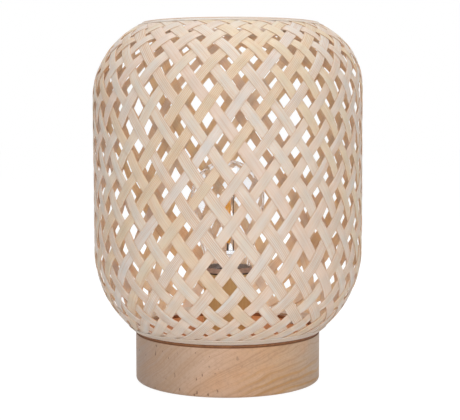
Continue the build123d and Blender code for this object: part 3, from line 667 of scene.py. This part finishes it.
def add_strip(mesh, hand, start_angle, number, luck):
    """One strip, from a flat grid that is bent onto the wall."""
    tags = {tag: mesh.verts.layers.float[tag] for tag in STRIP_TAGS}
    own_width = 1 + luck.uniform(*width_spread)
    own_tag = luck.random()
    wander = Vector((luck.uniform(0, 90), luck.uniform(0, 90), 0))
    grid = bmesh.ops.create_grid(mesh, x_segments=cuts_across, y_segments=cuts_along, size=0.5)
    for vert in grid["verts"]:
        side = 2 * vert.co.x
        row = round((vert.co.y + 0.5) * cuts_along)
        length, run, turn = course[row]
        radius = wall_at(run)[0]
        climb = math.acos(strip_closest_radius / radius)
        spacing = 2 * row_turn * math.sqrt(radius**2 - strip_closest_radius**2)
        packing = low_packing if run < wall_length / 2 else high_packing
        slimmer = 1 - upper_slimming * eased(run / wall_length, 0.35, 0.6)
        half = min(strip_width * own_width * slimmer, spacing * packing) / 2
        shingle = shingle_rise * eased(2 * half / spacing, 0.85, 1.1)
        half *= 1 + edge_wander * noise.noise(wander + Vector((0, 0, length * 30)))
        rise, reach = half * math.cos(climb), half * math.sin(climb)
        # the last cuts lean over until the strip's end lies level
        ends = max(0.0, 1 - min(row, cuts_along - row) / tapered_cuts)
        rise *= 1 - ends
        reach += (half / math.sin(climb) - reach) * ends
        shift = path_wander * noise.noise(wander + Vector((5, 5, length * 22)))
        up = run - side * rise - shift * math.cos(climb) * (1 - ends)
        around = turn + (side * reach + shift * math.sin(climb)) / radius
        lift = face_wander * noise.noise(wander + Vector((side * 0.4, 9, length * 60)))
        crown = strip_crown * (1 - side * side)
        out = hand * swing(turn) * weave_depth + lift + crown + side * shingle
        vert.co = point_by_wall(up, start_angle + hand * around, out)
        vert[tags["across"]] = side * half
        vert[tags["along"]] = length + number * 0.7
        vert[tags["strip"]] = own_tag
        vert[tags["edge"]] = abs(side)


def woven_strips(name, node, hand, start_angle, first, seed):
    """Every second strip of one family, as one piece."""
    mesh = bmesh.new()
    for tag in STRIP_TAGS:
        mesh.verts.layers.float.new(tag)
    luck = random.Random(seed)
    for number in range(first, strip_count, 2):
        angle = start_angle + 2 * row_turn * number
        add_strip(mesh, hand, angle, number, luck)
    if hand < 0:
        bmesh.ops.reverse_faces(mesh, faces=mesh.faces)
    piece = to_piece(mesh, name, node, strip_face, strip_back)
    shell = piece.modifiers.new("thickness", "SOLIDIFY")
    shell.thickness = strip_thickness
    shell.offset = 0
    shell.material_offset = 1
    rounding = piece.modifiers.new("rounding", "BEVEL")
    rounding.width = strip_rounding
    rounding.segments = 2
    rounding.limit_method = "ANGLE"
    return piece


left_start_angle = strip_start_angle + 2 * row_turn * weave_phase
for hand, family, start in ((1, "right", strip_start_angle), (-1, "left", left_start_angle)):
    for first, letter in ((0, "a"), (1, "b")):
        node = f"{family}_strips_{letter}"
        woven_strips(f"woven_{node}", node, hand, start, first, seed=hand * 10 + first)

# ---------------------------------------------------------------- rim bands and hoops

band_ripple = 0.15 * MM
split_rounding = 0.18 * MM
ring_cuts = 180


def middle(corners):
    """The middle height of a section's corners."""
    return sum(height for _, height in corners) / len(corners)


def band_ring(name, node, sections, seed, ripple=band_ripple, finish=strip_face):
    """Splits of bamboo bent into rings, each from its section's corners as (radius, height)."""
    mesh = bmesh.new()
    for tag in STRIP_TAGS:
        mesh.verts.layers.float.new(tag)
    for corners in sections:
        points = [mesh.verts.new((radius, 0, height)) for radius, height in corners]
        mesh.faces.new(points)
    bmesh.ops.bevel(
        mesh,
        geom=mesh.verts[:],
        offset=split_rounding,
        affect="VERTICES",
        segments=2,
        profile=0.5,
        material=-1,
    )
    edges = mesh.edges[:]
    bmesh.ops.delete(mesh, geom=mesh.faces[:], context="FACES_ONLY")
    bmesh.ops.spin(
        mesh,
        geom=edges,
        axis=(0, 0, 1),
        cent=(0, 0, 0),
        angle=2 * math.pi,
        steps=ring_cuts,
        use_merge=True,
    )
    bmesh.ops.remove_doubles(mesh, verts=mesh.verts, dist=0.001 * MM)
    bmesh.ops.recalc_face_normals(mesh, faces=mesh.faces)
    tags = {tag: mesh.verts.layers.float[tag] for tag in STRIP_TAGS}
    for vert in mesh.verts:
        angle = math.atan2(vert.co.y, vert.co.x)
        radius = vert.co.to_2d().length
        around = Vector((math.cos(angle), math.sin(angle), 0))
        nearest = min(range(len(sections)), key=lambda number: abs(middle(sections[number]) - vert.co.z))
        vert[tags["across"]] = radius + vert.co.z
        vert[tags["along"]] = angle * radius
        vert[tags["strip"]] = (seed * 0.173 + nearest * 0.31) % 1
        vert[tags["edge"]] = 0
        vert.co.z += noise.noise(around * 3 + Vector((0, nearest * 4, seed))) * ripple
        vert.co.x += shade_lean(vert.co.z)
    return to_piece(mesh, name, node, finish)


def beside_wall(run, out):
    """(radius, height) beside the even wall."""
    radius, height, lean = wall_at(run)
    return radius + out * math.cos(lean), height - out * math.sin(lean)


def band_corners(start, width, near, far):
    """The four corners of a flat band's section, from a run up the wall and its two distances from it."""
    return [
        beside_wall(start, near),
        beside_wall(start + width, near),
        beside_wall(start + width, far),
        beside_wall(start, far),
    ]


# how far the near and the far face of a band lie from the middle of the wall
outer_band = (weave_face + 0.2 * MM, weave_face + 0.6 * MM)
top_band = (weave_face + 0.05 * MM, weave_face + 0.4 * MM)
inner_band = (-weave_face - 0.6 * MM, -weave_face - 1.1 * MM)
bottom_width = 6.2 * MM
bottom_start = 3.3 * MM
top_width = 4.0 * MM
inner_width = 5.2 * MM
inner_start = strip_margin + 0.5 * MM
# what shows of a split's own share of the band, beside the groove to the next
split_share = 0.97
# each band's start up the wall, width, number of splits and faces
bands = {
    "bottom_band_outer": (bottom_start, bottom_width, 2, outer_band),
    "bottom_band_inner": (inner_start, inner_width, 2, inner_band),
    "top_band_outer": (wall_length - hoop_size / 2 - top_width, top_width, 1, top_band),
    "top_band_inner": (wall_length - inner_start - inner_width, inner_width, 2, inner_band),
}
for seed, (node, (start, width, count, sides)) in enumerate(bands.items()):
    each = width / count
    sections = [
        band_corners(start + number * each, each * split_share, *sides) for number in range(count)
    ]
    band_ring(f"{node}_splits", node, sections, seed + 1)

half = hoop_size / 2
hoops = (("bottom_hoop", low_rim, rim_height, dark_hoop), ("top_hoop", high_rim, top_height, strip_face))
for seed, (node, radius, height, finish) in enumerate(hoops):
    corners = [
        (radius + side * half, height + up * half) for side, up in ((-1, -1), (1, -1), (1, 1), (-1, 1))
    ]
    band_ring(f"{node}_split", node, [corners], seed + 7, ripple=0.0, finish=finish)

# ---------------------------------------------------------------- studio


def seen_directly(made):
    """1 where the camera looks, also by a mirror or through glass, and 0 for light that falls on things."""
    ways = ("Is Camera Ray", "Is Glossy Ray", "Is Transmission Ray")
    straight, mirrored, through = (made.node("LightPath", output=way) for way in ways)
    return straight.sum("MAXIMUM", mirrored).sum("MAXIMUM", through)


def pale_floor(name, glow_share=0.85, strength=1.12):
    """White floor that mostly shows an even white to the camera and still takes a faint shadow."""
    made = Finish(name)
    made.set(Base_Color=(0.9, 0.9, 0.9), Roughness=0.9, Specular_IOR_Level=0.1)
    glow = made.node("Emission", inputs={"Color": (1, 1, 1), "Strength": strength})
    return made.show(made.node("MixShader", inputs=[seen_directly(made) * glow_share, made.shader, glow]))


def studio_floor():
    """The floor that the lamp stands on, which belongs to the studio."""
    mesh = bmesh.new()
    bmesh.ops.create_grid(mesh, x_segments=2, y_segments=2, size=6)
    data = bpy.data.meshes.new("studio_floor")
    mesh.to_mesh(data)
    mesh.free()
    floor = bpy.data.objects.new("studio_floor", data)
    bpy.context.scene.collection.objects.link(floor)
    dress(floor, pale_floor("pale_floor"))


def soft_lamp(name, place, target, size, power, mirrored=False):
    """A rectangular lamp in watts, which mirrors and glass show only where it is mirrored."""
    data = bpy.data.lights.new(name, "AREA")
    data.shape = "RECTANGLE"
    data.size, data.size_y = size
    data.energy = power
    lamp = bpy.data.objects.new(name, data)
    lamp.location = place
    lamp.rotation_euler = (Vector(target) - Vector(place)).to_track_quat("-Z", "Y").to_euler()
    lamp.visible_camera = lamp.visible_glossy = lamp.visible_transmission = mirrored
    bpy.context.scene.collection.objects.link(lamp)


def studio_world(level):
    """Even soft light all round, which looks white where the camera sees it."""
    made = Maker(bpy.data.worlds.new("studio"), "World")
    soft = made.node("Background", inputs={"Color": (1, 1, 1), "Strength": level})
    white = made.node("Background", inputs={"Color": (1, 1, 1), "Strength": 1.0})
    bpy.context.scene.world = made.show(made.node("MixShader", inputs=[seen_directly(made), soft, white]))


studio_floor()
studio_world(0.31)
lamp_middle = (0, 0, 0.17)
soft_lamp("key_light", (0.12, -1.8, 0.75), lamp_middle, (1.6, 1.1), 19, mirrored=True)
soft_lamp("top_light", (0, 0, 1.5), lamp_middle, (0.9, 0.9), 9, mirrored=True)
# the light that comes through the thin bamboo from behind, and what it scatters inside the shade
soft_lamp("back_light", (0, 1.1, 0.16), (0, 0, 0.08), (1.6, 0.5), 2.5)
soft_lamp("inner_high_light", (0, -0.02, 0.21), (0, 0.1, 0.10), (0.05, 0.05), 0.014)
soft_lamp("inner_low_light", (0, 0.034, 0.100), (0, 0.1, 0.055), (0.05, 0.03), 0.012)

looking_down = math.radians(4.81)
camera_data = bpy.data.cameras.new("camera")
camera_data.lens = 94.7
camera_data.sensor_width = 36
camera = bpy.data.objects.new("camera", camera_data)
camera.location = (0.0019, -0.985, 0.222)
camera.rotation_euler = (math.pi / 2 - looking_down, 0, 0)
bpy.context.scene.collection.objects.link(camera)
bpy.context.scene.camera = camera
bpy.context.scene.view_settings.view_transform = "Standard"
